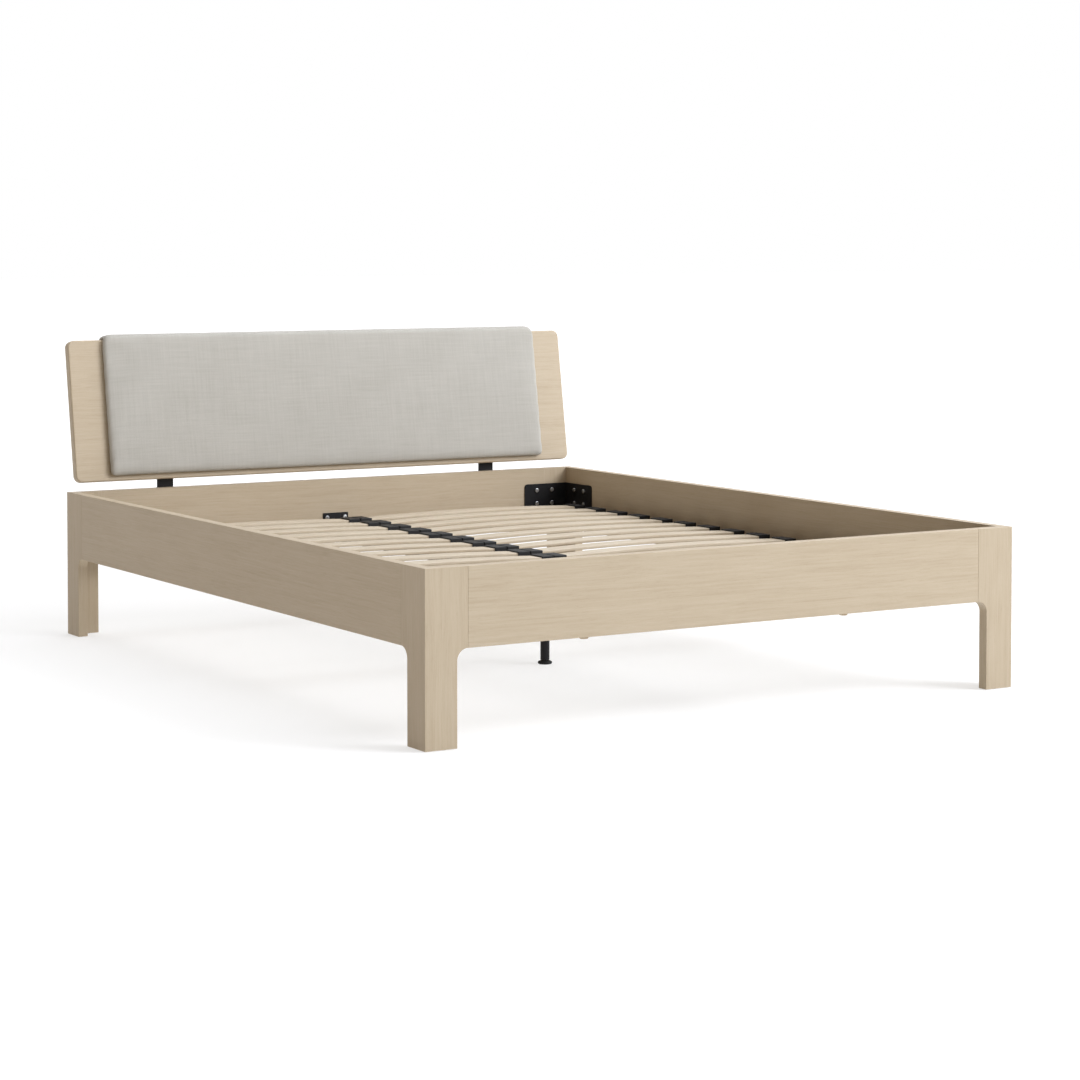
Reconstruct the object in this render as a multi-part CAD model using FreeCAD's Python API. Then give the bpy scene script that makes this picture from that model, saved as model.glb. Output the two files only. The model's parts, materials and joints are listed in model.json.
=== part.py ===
import FreeCAD, Part
import math
import os

# A double bed frame: four L-shaped corner legs and four rails round two slatted bases, with a
# centre beam, a levelling centre leg, a leaning headboard and its slip-over pad.
# All sizes are in mm. Everything is drawn with x = 0 on the centre line, y = 0 on the foot end's
# outer face and z = 0 on the floor; save() shifts it so that the origin is mid-length.

# Frame
WIDTH = 1720.0
LENGTH = 2155.0
RAIL_TOP = 415.0
RAIL_BOTTOM = 228.0
BOARD = 28.0
LEG_LEAF = 84.0
SEAM = 112.0
ARRIS = 1.2
GROOVE = 0.7
HALF = WIDTH / 2
INNER = HALF - BOARD
HEAD_FACE = LENGTH - BOARD

# Ledges and beam that carry the slatted bases
BASE_BOTTOM = 251.0
LEDGE_THICK = 22.0
SIDE_LEDGE = 60.0
FOOT_LEDGE = 80.0
HEAD_LEDGE = 90.0
BEAM_WIDE = 50.0
BEAM_HIGH = 20.0
BEAM_WALL = 2.0
CRADLE = 3.0
CRADLE_REACH = 60.0
CRADLE_TOP = 312.0

# Slatted bases
BASE_FOOT = 62.0
BASE_LENGTH = 2000.0
BASE_INNER = 2.0
BASE_OUTER = 798.0
STRINGER = 28.0
STRINGER_HIGH = 40.0
CROSS_WIDE = 50.0
CROSS_HIGH = 25.0
SLATS = 16
SLAT_WIDE = 60.0
SLAT_THICK = 8.0
SLAT_CAMBER = 9.0
SLAT_MARGIN = 70.0
HOLDER_REACH = 36.0
HOLDER_HIGH = 17.0
HOLDER_WALL = 3.0
PEG_X = 384.0
PEG_R = 11.0
PEG_BOTTOM = 210.5

# Headboard and pad: u runs up the board from its lower front edge, v runs back through it
LEAN = math.radians(9.0)
PANEL_WIDTH = 1680.0
PANEL_HIGH = 416.0
PANEL_GAP = 28.0
PANEL_CORNER = 20.0
PANEL_EDGE = 4.0
PAD_HALF = 742.0
PAD_BOTTOM = 12.0
PAD_FRONT = 22.0
PAD_TOP_GAP = 4.0
PAD_TOP_THICK = 15.0
PAD_REAR_THICK = 15.0
PAD_REAR_DROP = 115.0
PAD_CLEAR = 0.5
PAD_EDGE = 7.0

# Headboard brackets
BRACKET_X = 550.0
BRACKET_WIDE = 50.0
BRACKET_THICK = 6.0
BRACKET_FOOT = 296.0
BRACKET_RISE = 230.0

# Corner brackets
CORNER_ARM = 156.0
CORNER_THICK = 3.0
CORNER_LOW = 284.0
CORNER_HIGH = 366.0
CORNER_COLUMNS = (84.0, 140.0)
CORNER_ROWS = (304.0, 346.0)

# Fasteners
INSERT_R = 5.0
INSERT_BORE_R = 3.1
INSERT_LONG = 15.0
BOLT_R = 3.0
BOLT_LONG = 13.0
HEAD_R = 6.5
HEAD_HIGH = 4.0
CLEAR_HOLE_R = 3.4
SCREW_R = 2.5
SCREW_HEAD_R = 5.0
SCREW_HEAD_HIGH = 3.5

# Centre leg
LEG_X = 38.5
LEG_Y = 956.0
LEG_TUBE_R = 12.5
LEG_TUBE_WALL = 1.5
LEG_TUBE_FOOT = 14.0
BUSH_FLANGE = 2.0
BUSH_LONG = 25.0
LEG_PLATE = 4.0
DISC_R = 19.5
DISC_HIGH = 8.0
DISC_RIM = 3.8
HUB_HIGH = 1.8
SPINDLE_R = 5.0
SPINDLE_SEAT = 3.0
SPINDLE_LONG = 42.0
RUN_CLEAR = 0.06

# Glides under the legs
GLIDE_R = 10.0
GLIDE_PROUD = 1.5
GLIDE_RECESS = 2.5


def vec(x, y, z):
    return FreeCAD.Vector(x, y, z)


X_AXIS = vec(1, 0, 0)
Y_AXIS = vec(0, 1, 0)
Z_AXIS = vec(0, 0, 1)


def on_board(u, v, x=0.0):
    """Point at height u up the leaning headboard and depth v behind its front face."""
    y = HEAD_FACE + u * math.sin(LEAN) + v * math.cos(LEAN)
    z = RAIL_TOP + PANEL_GAP + u * math.cos(LEAN) - v * math.sin(LEAN)
    return vec(x, y, z)


UP_BOARD = vec(0, math.sin(LEAN), math.cos(LEAN))
INTO_BOARD = vec(0, math.cos(LEAN), -math.sin(LEAN))
PAD_U_TOP = PANEL_HIGH + PAD_TOP_GAP + PAD_TOP_THICK
PAD_V_REAR = BOARD + PAD_CLEAR + PAD_REAR_THICK
OVERALL_LENGTH = on_board(PAD_U_TOP - PAD_EDGE, PAD_V_REAR - PAD_EDGE).y + PAD_EDGE


def save(name, shapes):
    """Write one node: a shape, or a list of separate solids that share it."""
    shape = Part.makeCompound(shapes) if isinstance(shapes, list) else shapes
    moved = shape.copy()
    moved.translate(vec(0, -OVERALL_LENGTH / 2, 0))
    moved.exportStep("parts/" + name + ".step")


def block(x0, x1, y0, y1, z0, z1):
    return Part.makeBox(x1 - x0, y1 - y0, z1 - z0, vec(x0, y0, z0))


def rod(point, direction, radius, length):
    return Part.makeCylinder(radius, length, point, direction)


def mirror_x(shape):
    return shape.mirror(vec(0, 0, 0), X_AXIS)


def mirror_y(shape):
    return shape.mirror(vec(0, LENGTH / 2, 0), Y_AXIS)


def prism(points, direction):
    """A straight solid from a closed outline of points."""
    wire = Part.makePolygon(points + [points[0]])
    return Part.Face(wire).extrude(direction)


def rounded(shape, radius, wanted):
    """Round the edges for which wanted(edge) is true."""
    return shape.makeFillet(radius, [edge for edge in shape.Edges if wanted(edge)])


def runs_along(edge, axis):
    ends = edge.Vertexes
    if len(ends) < 2:
        return False
    step = ends[1].Point - ends[0].Point
    return abs(abs(step.dot(axis)) - step.Length) < 1e-6


def drill(shape, holes):
    """Cut the holes that reach this piece."""
    near = [hole for hole in holes if shape.BoundBox.intersect(hole.BoundBox)]
    return shape.cut(Part.makeCompound(near)) if near else shape


# ---- fasteners: each fixing is (point on the wood's face, direction into it, plate thickness)

def insert_hole(fixing):
    point, into, _ = fixing
    return rod(point, into, INSERT_R + 0.05, INSERT_LONG + 1)


def insert(fixing):
    """A threaded sleeve let into the wood."""
    point, into, _ = fixing
    start = point + into * 0.5
    return rod(start, into, INSERT_R, INSERT_LONG).cut(rod(start, into, INSERT_BORE_R, INSERT_LONG))


def bolt(fixing):
    """A socket button-head bolt that clamps a plate to the wood."""
    point, into, plate = fixing
    seat = point - into * plate
    shank = rod(seat, into, BOLT_R, plate + BOLT_LONG)
    head = rod(seat - into * HEAD_HIGH, into, HEAD_R, HEAD_HIGH)
    head = rounded(head, 1.5, lambda edge: edge.CenterOfMass.isEqual(seat - into * HEAD_HIGH, 0.5))
    socket = rod(seat - into * HEAD_HIGH, into, HEAD_R / 3, HEAD_HIGH / 2)
    return head.fuse(shank).removeSplitter().cut(socket)


def plate_hole(fixing):
    point, into, plate = fixing
    return rod(point - into * (plate + 1), into, CLEAR_HOLE_R, plate + 2)


def screw_hole(screw):
    point, into, length = screw
    bore = rod(point, into, SCREW_R + 0.05, length + 1)
    return bore.fuse(rod(point, into, SCREW_HEAD_R + 0.2, SCREW_HEAD_HIGH + 0.5))


def wood_screw(screw):
    point, into, length = screw
    start = point + into * 0.5
    shank = rod(start, into, SCREW_R, length)
    return shank.fuse(rod(start, into, SCREW_HEAD_R, SCREW_HEAD_HIGH)).removeSplitter()


# ---- legs and rails

def leaf(corner, along, depth):
    """One flag-shaped leg board: a narrow leg that widens in a cove to the rail's depth."""
    def at(distance, height):
        return corner + along * distance + Z_AXIS * height

    cove = SEAM - LEG_LEAF
    slant = cove * (1 - math.sqrt(0.5))
    points = [at(SEAM, RAIL_BOTTOM), at(SEAM, RAIL_TOP), at(0, RAIL_TOP), at(0, GLIDE_PROUD)]
    points += [at(LEG_LEAF, GLIDE_PROUD), at(LEG_LEAF, RAIL_BOTTOM - cove)]
    edges = [Part.makeLine(a, b) for a, b in zip(points, points[1:])]
    middle = at(LEG_LEAF + slant, RAIL_BOTTOM - slant)
    edges.append(Part.Arc(points[-1], middle, points[0]).toShape())
    return Part.Face(Part.Wire(edges)).extrude(depth)


def corner_fixings():
    """Bolts of the foot-left corner bracket: two columns and two rows on each of its arms."""
    ends = [(vec(-HALF + a, BOARD, z), -Y_AXIS, CORNER_THICK) for a in CORNER_COLUMNS for z in CORNER_ROWS]
    sides = [(vec(-INNER, a, z), -X_AXIS, CORNER_THICK) for a in CORNER_COLUMNS for z in CORNER_ROWS]
    return ends + sides


def seam_groove_end():
    """V groove down the upright joint between the foot-left leg and the foot rail."""
    x = -HALF + SEAM
    points = [vec(x - GROOVE, 0, 0), vec(x + GROOVE, 0, 0), vec(x, GROOVE, 0)]
    return prism(points, Z_AXIS * (RAIL_TOP + 5))


def seam_groove_side():
    """V groove down the upright joint between the foot-left leg and the left side rail."""
    points = [vec(-HALF, SEAM - GROOVE, 0), vec(-HALF, SEAM + GROOVE, 0), vec(-HALF + GROOVE, SEAM, 0)]
    return prism(points, Z_AXIS * (RAIL_TOP + 5))


def glide_centres():
    return [vec(-HALF + 52, BOARD / 2, 0), vec(-HALF + BOARD / 2, 52, 0)]


def glide(point):
    return rounded(rod(point, Z_AXIS, GLIDE_R, GLIDE_PROUD + GLIDE_RECESS - 0.1), 0.7,
                   lambda edge: abs(edge.CenterOfMass.z) < 0.01 and edge.Length > GLIDE_R * 6)


def foot_left_leg():
    """The two mitred boards of one corner leg, with their arrises rounded before they are parted."""
    corner = vec(-HALF, 0, 0)
    both = leaf(corner, X_AXIS, Y_AXIS * BOARD).fuse(leaf(corner, Y_AXIS, X_AXIS * BOARD)).removeSplitter()

    def shows(edge):
        middle = edge.CenterOfMass
        on_end = abs(middle.y) < 0.01
        on_side = abs(middle.x + HALF) < 0.01
        at_seam = max(middle.x + HALF, middle.y) > SEAM - 0.01
        at_floor = abs(middle.z - GLIDE_PROUD) < 0.01
        return (on_end or on_side) and not at_seam and not at_floor

    both = rounded(both, ARRIS, shows)
    both = both.cut(seam_groove_end()).cut(seam_groove_side())
    both = drill(both, [insert_hole(fixing) for fixing in corner_fixings()])
    both = drill(both, [rod(p, Z_AXIS, GLIDE_R + 0.05, GLIDE_PROUD + GLIDE_RECESS) for p in glide_centres()])
    span = SEAM + 20
    corner_side = [vec(-HALF, 0, -5), vec(-HALF + span, 0, -5), vec(-HALF + span, span, -5)]
    other_side = [vec(-HALF, 0, -5), vec(-HALF, span, -5), vec(-HALF + span, span, -5)]
    end_board = both.common(prism(corner_side, Z_AXIS * (RAIL_TOP + 10)))
    side_board = both.common(prism(other_side, Z_AXIS * (RAIL_TOP + 10)))
    return end_board, side_board


def legs():
    end_board, side_board = foot_left_leg()
    places = {
        "foot_left": lambda shape: shape,
        "foot_right": mirror_x,
        "head_left": mirror_y,
        "head_right": lambda shape: mirror_y(mirror_x(shape)),
    }
    for corner, move in places.items():
        save("leg_" + corner + "_end_board", move(end_board))
        save("leg_" + corner + "_side_board", move(side_board))
    glides = [move(glide(point)) for move in places.values() for point in glide_centres()]
    save("leg_glides", glides)


def four_corners(shapes):
    """The shapes of the foot-left corner, repeated at all four corners."""
    left = shapes + [mirror_y(shape) for shape in shapes]
    return left + [mirror_x(shape) for shape in left]


def end_rail(holes):
    """The foot rail, between the seams of the two foot legs."""
    rail = block(-HALF + SEAM, HALF - SEAM, 0, BOARD, RAIL_BOTTOM, RAIL_TOP)
    rail = rounded(rail, ARRIS, lambda edge: runs_along(edge, X_AXIS) and edge.CenterOfMass.y < 1)
    groove = seam_groove_end()
    return drill(rail.cut(groove).cut(mirror_x(groove)), holes)


def side_rail(holes):
    """The left side rail, between the seams of the foot and head legs."""
    rail = block(-HALF, -INNER, SEAM, LENGTH - SEAM, RAIL_BOTTOM, RAIL_TOP)
    rail = rounded(rail, ARRIS, lambda edge: runs_along(edge, Y_AXIS) and edge.CenterOfMass.x < 1 - HALF)
    groove = seam_groove_side()
    return drill(rail.cut(groove).cut(mirror_y(groove)), holes)


def corner_bracket():
    """A bent steel angle across the two seams of the foot-left corner."""
    end_arm = block(-INNER, -INNER + CORNER_ARM, BOARD, BOARD + CORNER_THICK, CORNER_LOW, CORNER_HIGH)
    side_arm = block(-INNER, -INNER + CORNER_THICK, BOARD, BOARD + CORNER_ARM, CORNER_LOW, CORNER_HIGH)
    angle = end_arm.fuse(side_arm).removeSplitter()

    def at_tip(edge):
        middle = edge.CenterOfMass
        far = max(middle.x + INNER, middle.y - BOARD) > CORNER_ARM - 0.01
        return far and edge.Length < CORNER_THICK + 0.1 and middle.z != (CORNER_LOW + CORNER_HIGH) / 2

    angle = rounded(angle, 10, at_tip)
    return drill(angle, [plate_hole(fixing) for fixing in corner_fixings()])


# ---- ledges, beam and its cradles

def ledge_screws():
    """Screws of the left-hand ledges: (point on the free edge, direction, length)."""
    side = [(vec(-INNER + SIDE_LEDGE, y, BASE_BOTTOM - LEDGE_THICK / 2), -X_AXIS, SIDE_LEDGE + 16)
            for y in range(240, 2000, 418)]
    columns = (-640.0, -250.0, -90.0)
    middle = BASE_BOTTOM - LEDGE_THICK / 2
    foot = [(vec(x, BOARD + FOOT_LEDGE, middle), -Y_AXIS, FOOT_LEDGE + 16) for x in columns]
    head = [(vec(x, HEAD_FACE - HEAD_LEDGE, middle), Y_AXIS, HEAD_LEDGE + 16) for x in columns]
    return side, foot, head


def ledges():
    side, foot, head = ledge_screws()
    low = BASE_BOTTOM - LEDGE_THICK
    inner_x = -(BEAM_WIDE / 2 + CRADLE + 20)
    outer_x = -INNER + SIDE_LEDGE
    pieces = {
        "side_ledge": block(-INNER, outer_x, BOARD, HEAD_FACE, low, BASE_BOTTOM),
        "foot_ledge": block(outer_x, inner_x, BOARD, BOARD + FOOT_LEDGE, low, BASE_BOTTOM),
        "head_ledge": block(outer_x, inner_x, HEAD_FACE - HEAD_LEDGE, HEAD_FACE, low, BASE_BOTTOM),
    }
    peg_hole = rod(vec(-PEG_X, BASE_FOOT + CROSS_WIDE / 2, low - 1), Z_AXIS, PEG_R + 2, LEDGE_THICK + 2)
    holes = [screw_hole(screw) for screw in side + foot + head] + [peg_hole]
    for name, piece in pieces.items():
        cut = drill(piece, holes)
        save(name + "_left", cut)
        save(name + "_right", mirror_x(cut))
    left = [wood_screw(screw) for screw in side + foot + head]
    save("ledge_screws", left + [mirror_x(screw) for screw in left])


def cradle_fixings():
    return [(vec(x, BOARD, z), -Y_AXIS, CRADLE) for x in (-30.0, 30.0) for z in (272.0, 298.0)]


def beam_cradle():
    """A steel stirrup on the foot rail's inner face that the beam's end drops into."""
    half = BEAM_WIDE / 2 + 0.5
    outer = half + CRADLE
    low = BASE_BOTTOM - BEAM_HIGH
    back = block(-outer - 14, outer + 14, BOARD, BOARD + CRADLE, low - CRADLE, CRADLE_TOP)
    shelf = block(-outer, outer, BOARD, BOARD + CRADLE_REACH, low - CRADLE, low)
    cheek = block(-outer, -half, BOARD, BOARD + CRADLE_REACH, low - CRADLE, BASE_BOTTOM)
    stirrup = back.multiFuse([shelf, cheek, mirror_x(cheek)]).removeSplitter()
    return drill(stirrup, [plate_hole(fixing) for fixing in cradle_fixings()])


def leg_fixings():
    """Bolts that hold the centre leg's plate under the beam."""
    low = BASE_BOTTOM - BEAM_HIGH
    return [(vec(x, LEG_Y, low), Z_AXIS, LEG_PLATE) for x in (-14.0, 12.0)]


def centre_beam():
    """A rectangular steel tube from the foot rail to the head rail."""
    half = BEAM_WIDE / 2
    low = BASE_BOTTOM - BEAM_HIGH
    start = BOARD + CRADLE
    end = HEAD_FACE - CRADLE
    tube = rounded(block(-half, half, start, end, low, BASE_BOTTOM), 3, lambda edge: runs_along(edge, Y_AXIS))
    bore = block(-half + BEAM_WALL, half - BEAM_WALL, start, end, low + BEAM_WALL, BASE_BOTTOM - BEAM_WALL)
    return drill(tube.cut(bore), [insert_hole(fixing) for fixing in leg_fixings()])


def centre_leg():
    """Plate, tube and threaded bush: the fixed part of the centre leg."""
    top = BASE_BOTTOM - BEAM_HIGH - LEG_PLATE
    plate = block(-BEAM_WIDE / 2, LEG_X + LEG_TUBE_R + 3, LEG_Y - 20, LEG_Y + 20, top, top + LEG_PLATE)
    plate = rounded(plate, 6, lambda edge: runs_along(edge, Z_AXIS))
    save("centre_leg_plate", drill(plate, [plate_hole(fixing) for fixing in leg_fixings()]))
    foot = vec(LEG_X, LEG_Y, LEG_TUBE_FOOT)
    bore_r = LEG_TUBE_R - LEG_TUBE_WALL
    tube = rod(foot, Z_AXIS, LEG_TUBE_R, top - LEG_TUBE_FOOT)
    save("centre_leg_tube", tube.cut(rod(foot, Z_AXIS, bore_r, top - LEG_TUBE_FOOT)))
    flange_foot = foot - Z_AXIS * BUSH_FLANGE
    bush = rod(foot, Z_AXIS, bore_r - 0.05, BUSH_LONG).fuse(rod(flange_foot, Z_AXIS, LEG_TUBE_R, BUSH_FLANGE))
    thread = rod(flange_foot, Z_AXIS, SPINDLE_R + RUN_CLEAR, BUSH_LONG + BUSH_FLANGE)
    save("leg_thread_bush", bush.removeSplitter().cut(thread))


def levelling_foot():
    """Disc foot on the floor, and the threaded spindle that turns in its socket."""
    floor = vec(LEG_X, LEG_Y, 0)
    disc = rounded(rod(floor, Z_AXIS, DISC_R, DISC_HIGH), DISC_RIM, lambda edge: edge.Length > DISC_R * 6)
    hub = Part.makeCone(LEG_TUBE_R + 2, LEG_TUBE_R, HUB_HIGH, floor + Z_AXIS * DISC_HIGH, Z_AXIS)
    seat = floor + Z_AXIS * SPINDLE_SEAT
    socket = rod(seat, Z_AXIS, SPINDLE_R + RUN_CLEAR, DISC_HIGH)
    save("levelling_disc", disc.fuse(hub).removeSplitter().cut(socket))
    save("levelling_spindle", rod(seat, Z_AXIS, SPINDLE_R, SPINDLE_LONG))


# ---- slatted bases, drawn for the right-hand side

def slat_centres():
    first = BASE_FOOT + SLAT_MARGIN
    pitch = (BASE_LENGTH - 2 * SLAT_MARGIN) / (SLATS - 1)
    return [first + pitch * number for number in range(SLATS)]


def slat(y):
    """A bowed plywood slat, held a few millimetres inside its holders."""
    x0 = BASE_INNER + 6
    x1 = BASE_OUTER - 6
    z0 = BASE_BOTTOM + STRINGER_HIGH + HOLDER_WALL + 1
    middle = (x0 + x1) / 2
    back = y - SLAT_WIDE / 2

    def at(x, z):
        return vec(x, back, z)

    under = Part.Arc(at(x0, z0), at(middle, z0 + SLAT_CAMBER), at(x1, z0)).toShape()
    z1 = z0 + SLAT_THICK
    upper = Part.Arc(at(x1, z1), at(middle, z1 + SLAT_CAMBER), at(x0, z1)).toShape()
    ends = [Part.makeLine(at(x1, z0), at(x1, z1)), Part.makeLine(at(x0, z1), at(x0, z0))]
    return Part.Face(Part.Wire([under, ends[0], upper, ends[1]])).extrude(Y_AXIS * SLAT_WIDE)


def slat_holder(y, x0, x1, open_x):
    """A moulded cap on a stringer, open on the side where its slat goes in."""
    z0 = BASE_BOTTOM + STRINGER_HIGH
    z1 = z0 + HOLDER_HIGH
    half = SLAT_WIDE / 2 + HOLDER_WALL
    cap = rounded(block(x0, x1, y - half, y + half, z0, z1), 2, lambda edge: edge.CenterOfMass.z > z1 - 0.01)
    pocket = block(x0 + 3, x1 - 3, y - half + 2.6, y + half - 2.6, z0 + HOLDER_WALL, z1 - HOLDER_WALL)
    mouth = pocket.copy()
    mouth.translate(X_AXIS * open_x)
    return cap.cut(pocket).cut(mouth)


def base_screws():
    """Screws through the stringers into the ends of the cross rails."""
    height = BASE_BOTTOM + CROSS_HIGH / 2
    rows = [y + step for y in cross_rail_feet().values() for step in (13, CROSS_WIDE - 13)]
    outer = [(vec(BASE_OUTER, y, height), -X_AXIS, STRINGER + 30) for y in rows]
    inner = [(vec(BASE_INNER, y, height), X_AXIS, STRINGER + 30) for y in rows]
    return outer + inner


def cross_rail_feet():
    return {
        "foot": BASE_FOOT,
        "middle": BASE_FOOT + (BASE_LENGTH - CROSS_WIDE) / 2,
        "head": BASE_FOOT + BASE_LENGTH - CROSS_WIDE,
    }


def slatted_base():
    """Every piece of the right-hand base, by name."""
    head = BASE_FOOT + BASE_LENGTH
    top = BASE_BOTTOM + STRINGER_HIGH
    holes = [screw_hole(screw) for screw in base_screws()]
    x0 = BASE_INNER + STRINGER
    x1 = BASE_OUTER - STRINGER
    pieces = {
        "inner_stringer": drill(block(BASE_INNER, x0, BASE_FOOT, head, BASE_BOTTOM, top), holes),
        "outer_stringer": drill(block(x1, BASE_OUTER, BASE_FOOT, head, BASE_BOTTOM, top), holes),
    }
    peg_foot = vec(PEG_X, BASE_FOOT + CROSS_WIDE / 2, PEG_BOTTOM)
    peg_top = BASE_BOTTOM + CROSS_HIGH - 5
    holes.append(rod(peg_foot, Z_AXIS, PEG_R + 0.05, peg_top - PEG_BOTTOM))
    for place, y in cross_rail_feet().items():
        rail = block(x0, x1, y, y + CROSS_WIDE, BASE_BOTTOM, BASE_BOTTOM + CROSS_HIGH)
        pieces[place + "_cross_rail"] = drill(rail, holes)
    peg = rod(peg_foot, Z_AXIS, PEG_R, peg_top - PEG_BOTTOM)
    pieces["locating_peg"] = rounded(peg, 3, lambda edge: abs(edge.CenterOfMass.z - PEG_BOTTOM) < 0.01
                                     and edge.Length > PEG_R * 6)
    pieces["slats"] = [slat(y) for y in slat_centres()]
    inner = [slat_holder(y, BASE_INNER, BASE_INNER + HOLDER_REACH, 5) for y in slat_centres()]
    outer = [slat_holder(y, BASE_OUTER - HOLDER_REACH, BASE_OUTER, -5) for y in slat_centres()]
    pieces["slat_holders"] = inner + outer
    pieces["base_screws"] = [wood_screw(screw) for screw in base_screws()]
    return pieces


def slatted_bases():
    for name, piece in slatted_base().items():
        solids = piece if isinstance(piece, list) else [piece]
        save("right_" + name, solids)
        save("left_" + name, [mirror_x(solid) for solid in solids])


# ---- headboard

def board_box(x0, x1, u0, u1, v0, v1):
    """A box in the headboard's own leaning directions."""
    corners = [on_board(u0, v0, x0), on_board(u1, v0, x0), on_board(u1, v1, x0), on_board(u0, v1, x0)]
    return prism(corners, X_AXIS * (x1 - x0))


def headboard_fixings():
    """Bolts of the left headboard bracket: two into the head rail and three into the panel."""
    rail = [(vec(-BRACKET_X, LENGTH, z), -Y_AXIS, BRACKET_THICK) for z in (322.0, 382.0)]
    panel = [(on_board(u, BOARD, -BRACKET_X), -INTO_BOARD, BRACKET_THICK) for u in (50.0, 125.0, 200.0)]
    return rail, panel


def headboard_panel():
    half = PANEL_WIDTH / 2
    panel = board_box(-half, half, 0, PANEL_HIGH, 0, BOARD)
    panel = rounded(panel, PANEL_CORNER, lambda edge: runs_along(edge, INTO_BOARD))
    panel = rounded(panel, PANEL_EDGE, lambda edge: not runs_along(edge, INTO_BOARD))
    _, fixings = headboard_fixings()
    holes = [insert_hole(fixing) for fixing in fixings]
    return drill(panel, holes + [mirror_x(hole) for hole in holes])


def headboard_bracket():
    """A steel bar up the head rail's back, bent to follow the panel's lean."""
    bend_u = (LENGTH - on_board(0, BOARD).y) / math.sin(LEAN)
    bend = on_board(bend_u, BOARD)
    top = on_board(BRACKET_RISE, BOARD)
    foot = vec(0, LENGTH, BRACKET_FOOT)
    mitre = (Y_AXIS + INTO_BOARD) * (BRACKET_THICK / (1 + Y_AXIS.dot(INTO_BOARD)))
    outline = [foot, bend, top, top + INTO_BOARD * BRACKET_THICK, bend + mitre, foot + Y_AXIS * BRACKET_THICK]
    start = X_AXIS * (-BRACKET_X - BRACKET_WIDE / 2)
    bar = prism([point + start for point in outline], X_AXIS * BRACKET_WIDE)
    rail, panel = headboard_fixings()
    return drill(bar, [plate_hole(fixing) for fixing in rail + panel])


def headboard_pad():
    """The slip-over pad: front cushion, top and short rear flap in one soft piece."""
    front = board_box(-PAD_HALF, PAD_HALF, PAD_BOTTOM, PAD_U_TOP, -PAD_FRONT - PAD_CLEAR, -PAD_CLEAR)
    top = board_box(-PAD_HALF, PAD_HALF, PANEL_HIGH + PAD_TOP_GAP, PAD_U_TOP, -PAD_CLEAR, PAD_V_REAR)
    rear_foot = PANEL_HIGH - PAD_REAR_DROP
    rear = board_box(-PAD_HALF, PAD_HALF, rear_foot, PAD_U_TOP, BOARD + PAD_CLEAR, PAD_V_REAR)
    pad = front.multiFuse([top, rear]).removeSplitter()
    front_top = on_board(PAD_U_TOP, -PAD_FRONT - PAD_CLEAR)
    rear_top = on_board(PAD_U_TOP, PAD_V_REAR)

    def outer_top(edge):
        middle = edge.CenterOfMass
        return middle.isEqual(front_top, 0.01) or middle.isEqual(rear_top, 0.01)

    return rounded(pad, PAD_EDGE, outer_top)


def rails_brackets_and_fasteners():
    """Rails with their holes, the brackets, and every bolt and threaded insert."""
    corner = corner_fixings()
    corner_holes = four_corners([insert_hole(fixing) for fixing in corner])
    side_screws, foot_screws, head_screws = ledge_screws()
    ledge_holes = [screw_hole(screw) for screw in side_screws + foot_screws + head_screws]
    ledge_holes += [mirror_x(hole) for hole in ledge_holes]
    cradle_holes = [insert_hole(fixing) for fixing in cradle_fixings()]
    rail_fixings, panel_fixings = headboard_fixings()
    bracket_holes = [insert_hole(fixing) for fixing in rail_fixings]
    bracket_holes += [mirror_x(hole) for hole in bracket_holes]
    blank = end_rail([])
    save("foot_rail", drill(blank, corner_holes + ledge_holes + cradle_holes))
    head_holes = corner_holes + ledge_holes + [mirror_y(hole) for hole in cradle_holes] + bracket_holes
    save("head_rail", drill(mirror_y(blank), head_holes))
    left = side_rail(corner_holes + ledge_holes)
    save("side_rail_left", left)
    save("side_rail_right", mirror_x(left))

    bracket = corner_bracket()
    save("corner_bracket_foot_left", bracket)
    save("corner_bracket_foot_right", mirror_x(bracket))
    save("corner_bracket_head_left", mirror_y(bracket))
    save("corner_bracket_head_right", mirror_y(mirror_x(bracket)))
    save("corner_bolts", four_corners([bolt(fixing) for fixing in corner]))

    cradle = beam_cradle()
    save("beam_cradle_foot", cradle)
    save("beam_cradle_head", mirror_y(cradle))
    cradle_bolts = [bolt(fixing) for fixing in cradle_fixings()]
    leg_bolts = [bolt(fixing) for fixing in leg_fixings()]
    save("beam_bolts", cradle_bolts + [mirror_y(piece) for piece in cradle_bolts] + leg_bolts)

    bar = headboard_bracket()
    save("headboard_bracket_left", bar)
    save("headboard_bracket_right", mirror_x(bar))
    bar_bolts = [bolt(fixing) for fixing in rail_fixings + panel_fixings]
    save("headboard_bolts", bar_bolts + [mirror_x(piece) for piece in bar_bolts])

    sleeves = four_corners([insert(fixing) for fixing in corner])
    cradle_sleeves = [insert(fixing) for fixing in cradle_fixings()]
    sleeves += cradle_sleeves + [mirror_y(piece) for piece in cradle_sleeves]
    sleeves += [insert(fixing) for fixing in leg_fixings()]
    bar_sleeves = [insert(fixing) for fixing in rail_fixings + panel_fixings]
    sleeves += bar_sleeves + [mirror_x(piece) for piece in bar_sleeves]
    save("threaded_inserts", sleeves)


os.makedirs("parts", exist_ok=True)
legs()
rails_brackets_and_fasteners()
ledges()
save("centre_beam", centre_beam())
centre_leg()
levelling_foot()
slatted_bases()
save("headboard_panel", headboard_panel())
save("headboard_pad", headboard_pad())
print("overall length", round(OVERALL_LENGTH, 3))
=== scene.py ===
import json
import logging
import math
from dataclasses import dataclass, field, replace
from enum import Enum

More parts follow.
